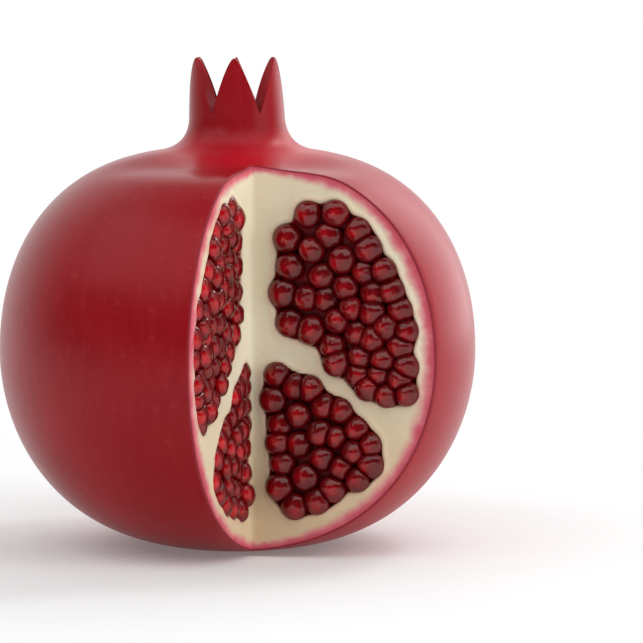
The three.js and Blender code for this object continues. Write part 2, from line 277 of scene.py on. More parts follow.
def crown_profile():
    """Up the outside of the sepals, over their rounded edge, down the inside and across
    the floor of the cup to the axis."""
    rise = np.linspace(0, 1, SEPAL_RINGS + 1)[1:] * (1 - LIP_RISE / SEPAL_LENGTH)
    height = VALLEY_HEIGHT + SEPAL_LENGTH * rise
    outer = np.stack([crown_radius(rise), height], 1)
    inner = np.stack([crown_radius(rise) - crown_wall(rise), height], 1)[::-1]
    turn = np.linspace(0, math.pi, LIP_STEPS + 1)[1:-1]
    sideways = np.sign(np.cos(turn)) * np.abs(np.cos(turn)) ** LIP_SQUARENESS
    half = crown_wall(rise[-1]) / 2
    lip = np.stack([
        outer[-1, 0] - half * (1 - sideways),
        height[-1] + LIP_RISE * np.sin(turn) ** LIP_SQUARENESS,
    ], 1)
    inside = CROWN_RADIUS - CROWN_WALL
    round_turn = np.linspace(0, math.pi / 2, CUP_CORNER_STEPS + 1)
    bowl = np.stack([
        inside - CUP_CORNER * (1 - np.cos(round_turn)),
        CUP_FLOOR + CUP_CORNER * (1 - np.sin(round_turn)),
    ], 1)
    floor = np.array([[inside * 0.4, CUP_FLOOR - CUP_FLOOR_SAG], [0.0, CUP_FLOOR]])
    return np.vstack([outer, lip, inner, bowl, floor])


def face_width(face, radius):
    """Distance along a cut face from the corner edge to the circle of a radius."""
    along = FACES[face] @ NOTCH_CORNER
    inside = along**2 - NOTCH_CORNER @ NOTCH_CORNER + radius**2
    return np.sqrt(np.maximum(inside, along**2)) - along


def column_turns():
    """Shares of the way round the skin, spaced so that every sepal's tip and valley falls
    on a column where the ring is a whole circle that starts at the corner edge."""
    corner = math.degrees(math.atan2(NOTCH_CORNER[1], NOTCH_CORNER[0]))
    step = 360 / SKIN_COLUMNS
    first = math.floor((corner + 90) / step) + 1
    whole = -90 + step * (first + np.arange(SKIN_COLUMNS))
    return np.concatenate([[0.0], (whole - corner) / 360, [1.0]])


def ring_outline(radius):
    """One level slice of the fruit as a closed loop of points: out along the right cut
    face, round its rim, round the skin, round the left rim and back to the corner. Cut
    edges are rounded by quadratic curves. Gives the points, their distance from the skin,
    and whether the slice is a whole circle that the notch doesn't reach."""
    corner_turn = math.atan2(NOTCH_CORNER[1], NOTCH_CORNER[0])
    whole = radius <= np.hypot(*NOTCH_CORNER) + 1e-6
    turns = column_turns()
    width = {face: 0.0 if whole else float(face_width(face, radius)) for face in FACES}
    rim = {face: NOTCH_CORNER + FACES[face] * width[face] for face in FACES}
    edge = min(RIM_ROUND, 0.2 * min(width.values()))
    soft = min(CORNER_SOFT, 0.25 * min(width.values()))
    if whole:
        start, end = corner_turn, corner_turn + 2 * math.pi
    else:
        start = math.atan2(rim["right"][1], rim["right"][0]) + edge / radius
        end = math.atan2(rim["left"][1], rim["left"][0]) % (2 * math.pi) - edge / radius
    angles = start + (end - start) * turns
    skin = radius * np.stack([np.cos(angles), np.sin(angles)], 1)
    if whole:
        skin[0] = skin[-1] = radius * np.array([math.cos(start), math.sin(start)])
    curve = (np.arange(1, EDGE_STEPS) / EDGE_STEPS)[:, None]
    across = np.linspace(0, 1, FACE_COLUMNS)[:, None]

    def rim_curve(face, skin_end):
        face_end = rim[face] - FACES[face] * edge
        middle = 2 * curve * (1 - curve) * rim[face]
        return (1 - curve) ** 2 * face_end + middle + curve**2 * skin_end

    def face_line(face):
        span = soft + (width[face] - edge - soft) * across
        return NOTCH_CORNER + FACES[face] * span, (width[face] - span).ravel()

    right, right_depth = face_line("right")
    left, left_depth = face_line("left")
    bend = (1 - curve) ** 2 * FACES["left"] + curve**2 * FACES["right"]
    corner = NOTCH_CORNER + soft * bend
    rim_depth = np.linspace(edge, 0, EDGE_STEPS + 1)[1:-1]
    points = np.vstack([
        right, rim_curve("right", skin[0]), skin, rim_curve("left", skin[-1])[::-1],
        left[::-1], corner,
    ])
    depth = np.concatenate([
        right_depth, rim_depth, np.zeros(len(skin)), rim_depth[::-1],
        left_depth[::-1], np.full(len(corner), min(width.values())),
    ])
    return points, depth, whole


def sepal_share(points):
    """The crown's height in each direction as a share of the sepal length: 1 less a power
    of the distance from the middle of a sepal. The front sepal is a little fuller than
    straight, the edges that meet at the left and right are fuller still."""
    turns = np.arctan2(points[:, 0], -points[:, 1]) / (2 * math.pi / SEPALS)
    away = np.abs(turns)
    side = np.where((away > 1) & (away < 2), SEPAL_FULLNESS["side"], SEPAL_FULLNESS["others"])
    fullness = np.where(away < 0.5, SEPAL_FULLNESS["front"], side)
    offset = (turns - np.round(turns)) * 2
    offset = np.sqrt(offset**2 + SEPAL_TIP_ROUND**2) - SEPAL_TIP_ROUND
    return np.maximum(1 - (offset / (1 - SEPAL_TIP_ROUND)) ** fullness, VALLEY_FLOOR)


def grow(points):
    """Turns the lathe-like shape into the grown one: sepals whose wall is thicker lower
    down, a slight lean of the crown, and a shoulder that dips towards the notch."""
    x, y, z = points.T.copy()
    above = z > VALLEY_HEIGHT
    share = np.where(above, (z - VALLEY_HEIGHT) / SEPAL_LENGTH, 0)
    lowered = share * sepal_share(points)
    radius = np.maximum(np.hypot(x, y), 1e-9)
    depth = (crown_radius(share) - radius) / crown_wall(share)
    grown = np.where(above, crown_radius(lowered) - depth * crown_wall(lowered), radius)
    x, y = x * grown / radius, y * grown / radius
    z = np.where(above, VALLEY_HEIGHT + SEPAL_LENGTH * lowered, z)
    x = x + CROWN_LEAN * smooth(z, BODY_HEIGHT, CROWN_TIP)
    forward = smooth(-y, *DIP_FORWARD) * (1 - smooth(np.hypot(x, y), *DIP_RADIUS))
    high = np.clip((z - EQUATOR_HEIGHT) / TOP_RISE, 0, 1)
    z = z - FRONT_DIP * forward * high**2
    return np.stack([x, y, z], 1)


def husk_grid():
    """All rings of the husk, one above the other, as points with the grid of their
    numbers. Where a ring is a whole circle its cut-face columns share the corner point.
    Also gives the distance from the skin along the ring, the same square to the skin, and
    the length of the profile up to each point."""
    body = body_profile()
    neck = neck_profile(body[-1])
    profile = np.vstack([body, neck, crown_profile()])
    lengths = np.concatenate([[0], np.cumsum(np.hypot(*np.diff(profile, axis=0).T))])
    slope = np.gradient(profile, axis=0)
    steepness = np.maximum(np.abs(slope[:, 1]) / np.hypot(*slope.T), LEAST_STEEPNESS)
    points, depths, square_depths, numbers, along = [], [], [], [], []
    count = 0
    skin_start = FACE_COLUMNS + EDGE_STEPS - 1
    skin_end = skin_start + SKIN_COLUMNS + 2
    columns = skin_end + skin_start + EDGE_STEPS - 1
    for (radius, height), length, steep in zip(profile, lengths, steepness):
        ring, depth, whole = ring_outline(radius)
        if radius < 1e-9:
            ring, depth = np.zeros((1, 2)), np.zeros(1)
            row = np.full(columns, count)
        elif whole:
            ring, depth = ring[skin_start:skin_end - 1], depth[skin_start:skin_end - 1]
            row = np.full(columns, count)
            row[skin_start:skin_end - 1] = count + np.arange(len(ring))
        else:
            row = count + np.arange(len(ring))
        numbers.append(row)
        points.append(np.column_stack([ring, np.full(len(ring), height)]))
        depths.append(depth)
        square_depths.append(depth * steep)
        along.append(np.full(len(ring), length))
        count += len(ring)
    joined = (np.concatenate(values) for values in (depths, square_depths, along))
    return np.vstack(points), *joined, np.array(numbers)


def carve_chambers(points, inner, arils):
    """Sinks the cut faces round the arils, along each face's normal. Every aril adds
    exp(-(distance / radius)^2) to a field: where it is strong the face goes down, so that
    the wall hugs the outermost arils, and just outside them it swells a little. Also gives
    how near the arils each point is, from 0 to 1."""
    nearness = np.zeros(len(points))
    for face, along in FACES.items():
        out = out_of_face(face)[:2]
        side = np.abs((points[:, :2] - NOTCH_CORNER) @ out) < CORNER_SOFT
        here = np.flatnonzero(inner & side)
        across = (points[here, :2] - NOTCH_CORNER) @ along
        field = np.zeros(len(here))
        for chamber in arils.values():
            if chamber["face"] != face:
                continue
            place = np.stack([across, points[here, 2]], 1)[:, None] - chamber["spots"][None]
            gap = np.linalg.norm(place / chamber["spacing"], axis=2)
            field += np.exp(-((gap / chamber["reach"].mean(1)) ** 2)).sum(1)
        sink = smooth(field, *POCKET_SINKS) * POCKET_DEPTH
        swell = PITH_SWELL * smooth(field, *SWELL_STARTS) * (1 - smooth(field, *SWELL_STOPS))
        points[here, :2] += (swell - sink)[:, None] * out[None]
        nearness[here] = (smooth(field, *PITH_FLUSHES) + smooth(field, *PITH_REDDENS)) / 2
    return nearness


def make_husk(skin, pith, arils):
    """The husk in one closed piece: skin outside, pith on the cut faces. The skin is painted
    paler towards the lit +X side and the crown, a painted light and sheen, and a more
    saturated red round the neck is a painted reflection of the crown."""
    points, depth, square_depth, along, numbers = husk_grid()
    round_turn = np.arctan2(points[:, 1], points[:, 0])
    meridian = np.stack([np.cos(round_turn), np.sin(round_turn), along / EQUATOR_RADIUS], 1)
    height = points[:, 2]
    # painted light and sheen: paler towards the lit +X side and the crown
    side_light = PAINTED_SIDE_LIGHT * smooth(points[:, 0] + SIDE_LIGHT_CLIMB * height, *SIDE_LIGHT_PLACE)
    # painted reflection of the crown round the neck
    neck_reflection = 1 - smooth(np.hypot(points[:, 0], points[:, 1]), *NECK_REFLECTION_RADIUS)
    neck_reflection = neck_reflection * smooth(height, *NECK_REFLECTION_STARTS) * (1 - smooth(height, *NECK_REFLECTION_STOPS))
    inner = depth > RIM_ROUND * 0.99
    points = grow(points)
    nearness = carve_chambers(points, inner, arils)
    faces = grid_faces(numbers, wrap=True)
    corner_depth = np.where(faces >= 0, depth[faces], 0)
    cut = corner_depth.max(1) > 0
    piece = mesh_piece(
        "husk", points, faces, "husk", [skin, pith],
        {
            "skin_depth": square_depth, "meridian": meridian, "aril_nearness": nearness,
            "painted_neck_reflection": PAINTED_NECK_REFLECTION * neck_reflection, "painted_side_light": side_light,
        },
        cut,
    )
    piece.data.set_sharp_from_angle(angle=math.radians(SHARP_TURN))


# ---- The arils --------------------------------------------------------------------------

AROUND = 20  # points round one aril
RINGS = 9  # and from its domed end to its root
SAMPLES = 8000  # random places that measure the area nearest to each aril
SETTLING = 24  # times that the arils move while they crowd
UNEVENNESS = 0.09  # of their final places, as a share of their spacing
CROWD_POWER = 8  # the higher, the sharper the corners of pressed arils
FREE_REACH = 0.99  # where no neighbour presses, as a share of the typical radius
SQUEEZE = (1.08, 1.22)  # how much wider than its own area an aril is
DOME_POWER = 0.92  # below 1 the domed end is blunter than a sphere
ROOT_POWER = 1.1
RIPPLE = 0.05  # dents in the dome, as a share of its height
ARIL_DEPTHS = (-1.0, 0.2)  # how far an aril may lie behind or before its fellows
ARIL_TILT = 0.16  # how far it may lean, sideways for each unit outwards
LIT_CORE_WIDTH = 0.62  # of the painted bright core, as a share of an aril's reach
# painted light: how bright each face's arils are painted at the core; the left face's arils
# catch the right lamps and are painted brightest
CORE_PAINTED_LIGHT = {"right": 0.72, "left": 1.0}
LIT_SIDE_SHIFT = {"right": 0.0, "left": 1.0}  # how far the painted bright core moves to the outward side


def chamber_outline(name):
    """A chamber's outline in millimetres across and up its cut face: a closed curve
    whose points follow Catmull and Rom's cubic through the given ones."""
    face = "left" if name.endswith("left") else "right"
    shares = np.array(CHAMBERS[name])
    up = shares[:, 1] * BODY_HEIGHT
    above = np.clip((up - EQUATOR_HEIGHT) / TOP_RISE, 0, 1)
    below = np.clip((EQUATOR_HEIGHT - up) / BELLY_DEPTH, 0, 1)
    upper = (1 - above ** SHOULDER_POWERS[1]) ** (1 / SHOULDER_POWERS[0])
    lower = (1 - below ** BELLY_POWERS[1]) ** (1 / BELLY_POWERS[0])
    radius = EQUATOR_RADIUS * np.where(up > EQUATOR_HEIGHT, upper, lower)
    across = shares[:, 0] * (face_width(face, radius) - RIND)
    knots = np.stack([across, up], 1)
    before, after, later = (np.roll(knots, shift, axis=0) for shift in (1, -1, -2))
    t = np.linspace(0, 1, 8, endpoint=False)[:, None, None]
    curve = 0.5 * (
        2 * knots + (after - before) * t
        + (2 * before - 5 * knots + 4 * after - later) * t**2
        + (3 * knots - before - 3 * after + later) * t**3
    )
    return face, curve.transpose(1, 0, 2).reshape(-1, 2)


def inside_outline(points, outline):
    """Whether points lie within a closed outline: a level line from each of them crosses
    the outline an odd number of times."""
    start, end = outline, np.roll(outline, -1, axis=0)
    x, y = points[:, :1], points[:, 1:]
    spans = (start[:, 1] > y) != (end[:, 1] > y)
    rise = np.where(end[:, 1] == start[:, 1], 1e-9, end[:, 1] - start[:, 1])
    meets = start[:, 0] + (y - start[:, 1]) * (end[:, 0] - start[:, 0]) / rise
    return (spans & (x < meets)).sum(1) % 2 == 1


def settle_arils(outline):
    """Places arils of unit spacing in a chamber as they crowd: each moves, again and again,
    to the middle of the area that is nearer to it than to any other."""
    low, high = outline.min(0), outline.max(0)
    samples = RANDOM.uniform(low, high, (SAMPLES, 2))
    inside = inside_outline(samples, outline)
    area = np.prod(high - low) * inside.mean()
    samples = samples[inside]
    count = round(area / (math.sqrt(3) / 2))
    spots = samples[:count].copy()
    for _ in range(SETTLING):
        gap = np.linalg.norm(samples[:, None] - spots[None], axis=2)
        owner = np.eye(count)[gap.argmin(1)]
        spots = (owner.T @ samples) / np.maximum(owner.sum(0), 1)[:, None]
    spots += RANDOM.uniform(-UNEVENNESS, UNEVENNESS, spots.shape)
    return spots, math.sqrt(area / count / math.pi)


def pressed_radius(spots, typical):
    """How far each aril reaches in each direction round it: towards a neighbour as far as
    halfway, elsewhere not much past the typical radius, and with rounded corners."""
    angles = np.linspace(0, 2 * math.pi, AROUND, endpoint=False)
    headings = np.stack([np.cos(angles), np.sin(angles)], 1)
    gap = spots[None] - spots[:, None]
    distance = np.linalg.norm(gap, axis=2)
    np.fill_diagonal(distance, 1e9)
    facing = np.einsum("ijc,ac->ija", gap / distance[..., None] ** 2, headings) * 2
    free = 1 / (FREE_REACH * typical)
    crowding = (np.maximum(facing, 0) ** CROWD_POWER).sum(1) + free**CROWD_POWER
    return crowding ** (-1 / CROWD_POWER)


def aril_chambers():
    """The arils of all chambers: their face, its spacing, their places across and up it, and
    their reach in each direction, which grows from their typical radius."""
    chambers = {}
    for name in CHAMBERS:
        face, outline = chamber_outline(name)
        spacing = np.array(ARIL_SPACING[face])
        spots, typical = settle_arils(outline / spacing)
        reach = pressed_radius(spots, typical) * RANDOM.uniform(*SQUEEZE, (len(spots), 1))
        chambers[name] = {
            "face": face, "spacing": spacing, "spots": spots * spacing, "reach": reach,
        }
    return chambers


def row_heights(name):
    """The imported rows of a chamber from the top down, and the heights of their middles."""
    rows = [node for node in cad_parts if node.startswith(name + "_arils_row_")]
    rows.sort(key=lambda node: int(node.rsplit("_", 1)[1]))
    middles = [(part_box(node)[0].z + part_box(node)[1].z) / 2 / MM for node in rows]
    return rows, np.array(middles)


def aril_shape(reach, proud):
    """One aril round its own middle: across, up and out. A ring's radius goes as a power of
    the sine of its turn from the domed end, times the reach in each direction, and the
    root narrows. A slight ripple dents the dome. The last two points are the poles."""
    turn = np.linspace(0, math.pi, RINGS + 2)[1:-1, None]
    around = np.linspace(0, 2 * math.pi, AROUND, endpoint=False)[None, :]
    front = np.cos(turn) > 0
    power = np.where(front, DOME_POWER, ROOT_POWER)
    radius = np.sin(turn) ** power * reach[None]
    proud = proud * RANDOM.uniform(0.85, 1.1)
    ripple = 1 + RIPPLE * np.cos(3 * around + RANDOM.uniform(0, 6.28)) * np.sin(2 * turn)
    out = np.cos(turn) * np.where(front, proud * ripple, ARIL_ROOT)
    points = np.stack([radius * np.cos(around), radius * np.sin(around), out], -1)
    return np.vstack([points.reshape(-1, 3), [[0, 0, proud], [0, 0, -ARIL_ROOT]]])


def aril_faces():
    """The faces of one aril: bands between its rings, and a fan at either pole."""
    numbers = np.arange(RINGS * AROUND).reshape(RINGS, AROUND)[::-1]
    front = np.full((1, AROUND), RINGS * AROUND)
    root = np.full((1, AROUND), RINGS * AROUND + 1)
    return grid_faces(np.vstack([root, numbers, front]), wrap=True)


def make_aril_row(row, chamber, mine, material):
    """All arils of one row as separate closed bodies in one piece. Their painted light is
    brightest a little off the middle of the domed end, and fades to painted shade towards the
    sides and the root; on the left face it lies on the outward side."""
    face = chamber["face"]
    along, out = FACES[face], out_of_face(face)
    side = LIT_SIDE_SHIFT[face]
    up = np.array([0.0, 0.0, 1.0])
    across = np.array([along[0], along[1], 0.0])
    base = aril_faces()
    if np.dot(np.cross(across, up), out) < 0:
        base = np.where(base[:, 3:] < 0, base[:, [2, 1, 0, 3]], base[:, ::-1])
    points, faces, painted_core_light, tint = [], [], [], []
    for spot, reach in zip(chamber["spots"][mine], chamber["reach"][mine]):
        shape = aril_shape(reach, ARIL_PROUD[face])
        centre = RANDOM.uniform([-0.35, -0.35], [0.1, 0.15]) * reach.mean()
        centre[0] += 0.7 * side
        away = np.hypot(*(shape[:, :2] - centre).T) / reach.mean()
        # painted light: bright at the core, fading to painted shade at the sides and towards
        # the root
        glow = np.exp(-((away / (LIT_CORE_WIDTH + 0.2 * side)) ** 2))
        glow = glow * smooth(shape[:, 2], -0.4 - side, 1.4 - side)
        painted_core_light.append(glow * CORE_PAINTED_LIGHT[face])
        tint.append(np.full(len(shape), RANDOM.uniform(0, 1)))
        shape[:, :2] *= chamber["spacing"]
        shape[:, :2] += RANDOM.uniform(-ARIL_TILT, ARIL_TILT, 2) * shape[:, 2:]
        origin = np.array([*NOTCH_CORNER, 0.0]) + across * spot[0] + up * spot[1]
        origin = origin + out * RANDOM.uniform(*ARIL_DEPTHS)
        faces.append(np.where(base >= 0, base + len(points) * len(shape), -1))
        points.append(origin + shape @ np.array([across, up, out]))
    return mesh_piece(
        row + "_fine", np.vstack(points), np.vstack(faces), row,
        [material], {"painted_core_light": np.concatenate(painted_core_light), "tint": np.concatenate(tint)},
    )


def make_arils(chambers, material):
    """Shares the arils of each chamber out to its packed rows by height."""
    for name, chamber in chambers.items():
        rows, middles = row_heights(name)
        nearest = np.abs(chamber["spots"][:, 1:] - middles).argmin(1)
        for number, row in enumerate(rows):
            make_aril_row(row, chamber, nearest == number, material)


# ---- The stamens ------------------------------------------------------------------------

FILAMENTS = 120
FILAMENT_STEPS = 7
FILAMENT_SIDES = 5


def make_stamens(material):
    """Withered filaments: each rises from the floor of the cup near its wall and curls over
    to one side. A tube of a few sides follows it and swells into a small anther."""
    low, high = (np.array(corner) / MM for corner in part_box("stamens"))
    middle = (low + high)[:2] / 2
    reach = (high[0] - low[0]) / 2
    turn = RANDOM.uniform(0, 2 * math.pi, FILAMENTS)
    start = reach * RANDOM.uniform(0.35, 0.9, FILAMENTS)
    rise = (high[2] - low[2]) * RANDOM.uniform(0.65, 0.97, FILAMENTS)
    lean = RANDOM.uniform(-0.75, 0.15, FILAMENTS) * reach * 0.6
    swirl = RANDOM.uniform(-0.5, 0.5, FILAMENTS)
    t = np.linspace(0, 1, FILAMENT_STEPS)
    out = np.clip(start[:, None] + lean[:, None] * t**2, 0.3, reach)
    direction = turn[:, None] + swirl[:, None] * t**1.5
    height = low[2] + rise[:, None] * np.sin(t * 2.0) / math.sin(2.0) * (1 - 0.1 * t)
    height = np.clip(height, low[2], high[2] - 0.3)
    path = np.stack([
        middle[0] + out * np.cos(direction), middle[1] + out * np.sin(direction), height,
    ], -1)
    thick = 0.2 * (1 - 0.3 * t) + 0.3 * np.exp(-((t - 0.93) / 0.08) ** 2)
    thick = thick[None] * RANDOM.uniform(0.8, 1.2, (FILAMENTS, 1))
    tangent = np.gradient(path, axis=1)
    tangent /= np.linalg.norm(tangent, axis=2, keepdims=True)
    side = np.cross(tangent, np.array([0.31, 0.17, 0.93]))
    side /= np.linalg.norm(side, axis=2, keepdims=True) + 1e-9
    other = np.cross(tangent, side)
    around = np.linspace(0, 2 * math.pi, FILAMENT_SIDES, endpoint=False)
    ring = (
        side[:, :, None] * np.cos(around)[None, None, :, None]
        + other[:, :, None] * np.sin(around)[None, None, :, None]
    )
    tube = path[:, :, None] + ring * thick[:, :, None, None]
    ends = path[:, [0, -1]]
    count = FILAMENT_STEPS * FILAMENT_SIDES
    points = np.concatenate([tube.reshape(FILAMENTS, count, 3), ends], 1)
    points[:, :, 2] = np.clip(points[:, :, 2], low[2], high[2])
    numbers = np.arange(count).reshape(FILAMENT_STEPS, FILAMENT_SIDES)
    first = np.full((1, FILAMENT_SIDES), count)
    last = np.full((1, FILAMENT_SIDES), count + 1)
    one = grid_faces(np.vstack([first, numbers, last]), wrap=True)
    steps = (np.arange(FILAMENTS) * (count + 2))[:, None, None]
    faces = np.where(one[None] >= 0, one[None] + steps, -1).reshape(-1, 4)
    end_share = np.concatenate([np.repeat(t, FILAMENT_SIDES), [0, 1]])
    shade = np.tile(end_share, (FILAMENTS, 1)).ravel()
    return mesh_piece(
        "stamens_fine", points.reshape(-1, 3), faces, "stamens", [material],
        {"tip_share": shade},
    )


# ---- Materials --------------------------------------------------------------------------


class Shading:
    """Short ways to add and join the nodes of one material or group."""

    def __init__(self, tree):
        self.tree = tree

    def node(self, kind, **settings):
        made = self.tree.nodes.new(kind)
        for key, value in settings.items():
            setattr(made, key, value)
        return made

    def join(self, source, target):
        """Links a socket to another, or sets a plain value on it."""
        if isinstance(source, bpy.types.NodeSocket):
            self.tree.links.new(source, target)
        else:
            target.default_value = source

    def attribute(self, name):
        return self.node("ShaderNodeAttribute", attribute_name=name).outputs["Fac"]

    def coordinates(self):
        return self.node("ShaderNodeTexCoord").outputs["Object"]

    def height(self):
        parts = self.node("ShaderNodeSeparateXYZ")
        self.join(self.coordinates(), parts.inputs["Vector"])
        return parts.outputs["Z"]

    def scaled(self, vector, scale):
        made = self.node("ShaderNodeMapping")
        made.inputs["Scale"].default_value = scale
        self.join(vector, made.inputs["Vector"])
        return made.outputs["Vector"]

    def noise(self, vector, scale, detail=3.0, roughness=0.55):
        made = self.node("ShaderNodeTexNoise")
        made.inputs["Scale"].default_value = scale
        made.inputs["Detail"].default_value = detail
        made.inputs["Roughness"].default_value = roughness
        self.join(vector, made.inputs["Vector"])
        return made.outputs["Fac"]

    def ramp(self, value, low, high, start=0.0, end=1.0, smoothly=True):
        kind = "SMOOTHSTEP" if smoothly else "LINEAR"
        made = self.node("ShaderNodeMapRange", interpolation_type=kind)
        keys = ("Value", "From Min", "From Max", "To Min", "To Max")
        for key, number in zip(keys, (value, low, high, start, end)):
            self.join(number, made.inputs[key])
        return made.outputs["Result"]

    def mix(self, share, first, second):
        """Mixes two colours; a colour mix keeps its sockets at these places."""
        made = self.node("ShaderNodeMix", data_type="RGBA")
        for place, value in ((0, share), (6, first), (7, second)):
            self.join(value, made.inputs[place])
        return made.outputs[2]

    def add(self, first, second):
        made = self.node("ShaderNodeMath", operation="ADD")
        self.join(first, made.inputs[0])
        self.join(second, made.inputs[1])
        return made.outputs[0]

    def finish(self, shader, values):
        """Joins or sets the inputs of a shader that are given by name."""
        for key, value in values.items():
            self.join(value, shader.inputs[key])


def paint(red, green, blue):
    """A colour given in the usual 0 to 255 screen values, as the linear one shaders take."""
    share = np.array([red, green, blue]) / 255
    linear = np.where(share <= 0.04045, share / 12.92, ((share + 0.055) / 1.055) ** 2.4)
    return (*(float(value) for value in linear), 1.0)


def new_material(name):
    """A material with only its Principled shader and output."""
    material = bpy.data.materials.new(name)
    material.use_nodes = True
    shading = Shading(material.node_tree)
    shader = material.node_tree.nodes["Principled BSDF"]
    return material, shading, shader


def mottle_group():
    """A node group for blotched, streaked plant skin. Out of a direction-and-length
    vector it gives soft patches, streaks that run from stalk to crown, and fine specks."""
    group = bpy.data.node_groups.new("grown_mottle", "ShaderNodeTree")
    sockets = group.interface
    sockets.new_socket("Place", in_out="INPUT", socket_type="NodeSocketVector")
    sockets.new_socket("Meridian", in_out="INPUT", socket_type="NodeSocketVector")
    for name in ("Patches", "Streaks", "Specks"):
        sockets.new_socket(name, in_out="OUTPUT", socket_type="NodeSocketFloat")
    shading = Shading(group)
    source = shading.node("NodeGroupInput")
    result = shading.node("NodeGroupOutput")
    patches = shading.noise(source.outputs["Place"], 26.0, 3.0, 0.5)
    stretched = shading.scaled(source.outputs["Meridian"], (26.0, 26.0, 4.0))
    streaks = shading.noise(stretched, 1.6, 1.0, 0.5)
    specks = shading.noise(source.outputs["Place"], 420.0, 2.0, 0.5)
    shading.join(patches, result.inputs["Patches"])
    shading.join(streaks, result.inputs["Streaks"])
    shading.join(specks, result.inputs["Specks"])
    return group


def mottle(shading, group):
    """The mottle group placed in a material, fed from object space and the meridians."""
    made = shading.node("ShaderNodeGroup", node_tree=group)
    shading.join(shading.coordinates(), made.inputs["Place"])
    meridian = shading.node("ShaderNodeAttribute", attribute_name="meridian")
    shading.join(meridian.outputs["Vector"], made.inputs["Meridian"])
    return made.outputs


def bump(shading, shader, height, distance, strength=1.0):
    made = shading.node("ShaderNodeBump")
    made.inputs["Distance"].default_value = distance
    made.inputs["Strength"].default_value = strength
    shading.join(height, made.inputs["Height"])
    shading.join(made.outputs["Normal"], shader.inputs["Normal"])


def skin_material(group):
    """Waxy pomegranate skin: deep red with softer patches, meridian streaks and specks, duller
    towards the foot. A painted light and sheen makes it paler towards the lit +X side and the
    crown, and a painted reflection of the crown makes it a more saturated red round the neck."""
    material, shading, shader = new_material("pomegranate_skin")
    marks = mottle(shading, group)
    patch = shading.ramp(marks["Patches"], 0.32, 0.68)
    base = shading.mix(patch, paint(142, 8, 18), paint(156, 16, 26))
    streak = shading.ramp(marks["Streaks"], 0.4, 0.75, 0.0, 0.3)
    base = shading.mix(streak, base, paint(164, 30, 38))
    speck = shading.ramp(marks["Specks"], 0.6, 0.78, 0.0, 0.3)
    base = shading.mix(speck, base, paint(176, 58, 62))
    # painted light and sheen on the lit +X side and towards the crown
    base = shading.mix(shading.attribute("painted_side_light"), base, paint(176, 56, 70))
    # painted reflection of the crown: a more saturated red round the neck
    base = shading.mix(shading.attribute("painted_neck_reflection"), base, paint(190, 18, 36))
    shading.finish(shader, {
        "Base Color": base,
        "Roughness": shading.ramp(marks["Patches"], 0.3, 0.7, 0.28, 0.35),
        "Specular IOR Level": shading.ramp(shading.height(), 0.0, 0.05, 0.12, 0.27),
        "Specular Tint": (1.0, 0.66, 0.7, 1.0),
        "Coat Weight": 0.04,
        "Coat Roughness": 0.22,
    })
    bump(shading, shader, marks["Specks"], 0.00006, 0.25)
    return material


def pith_material(group):
    """Cut pith: cream, a little blotched, flushed pink round the arils, with a pink band under
    the skin and a thin dark line at its edge. Between the arils it is red. Towards the bottom
    it takes a painted shade, a darker, browner cream."""
    material, shading, shader = new_material("pomegranate_pith")
    marks = mottle(shading, group)
    patch = shading.ramp(marks["Patches"], 0.3, 0.7)
    colour = shading.mix(patch, paint(238, 228, 202), paint(230, 216, 184))
    # painted shade: the pith turns a darker, browner cream towards the bottom, where less
    # light reaches it
    low = shading.ramp(shading.height(), 0.005, 0.05, 0.55, 0.0)
    colour = shading.mix(low, colour, paint(222, 190, 146))
    near = shading.attribute("aril_nearness")
    flush = shading.ramp(near, 0.1, 0.5, 0.0, 0.3)
    colour = shading.mix(flush, colour, paint(226, 178, 154))
    depth = shading.attribute("skin_depth")
    blotch = shading.noise(shading.coordinates(), 210.0)
    uneven = shading.ramp(blotch, 0.3, 0.7, -0.7, 0.7, False)
    soft_depth = shading.add(depth, uneven)
    pink = shading.ramp(soft_depth, 1.2, 3.9, 1.0, 0.0)
    colour = shading.mix(pink, colour, paint(222, 120, 132))
    rose = shading.ramp(soft_depth, 0.2, 2.1, 0.85, 0.0)
    colour = shading.mix(rose, colour, paint(200, 66, 88))
    line = shading.ramp(depth, 0.25, 0.65, 1.0, 0.0)
    colour = shading.mix(line, colour, paint(138, 22, 38))
    juicy = shading.ramp(near, 0.52, 0.75)
    colour = shading.mix(juicy, colour, paint(150, 14, 26))
    shading.finish(shader, {
        "Base Color": colour,
        "Roughness": 0.5,
        "Specular IOR Level": 0.35,
        "Subsurface Weight": 0.25,
        "Subsurface Radius": (1.0, 0.55, 0.35),
        "Subsurface Scale": 0.0012,
    })
    grain = shading.noise(shading.coordinates(), 700.0, 3.0, 0.6)
    bump(shading, shader, grain, 0.00025, 0.5)
    return material


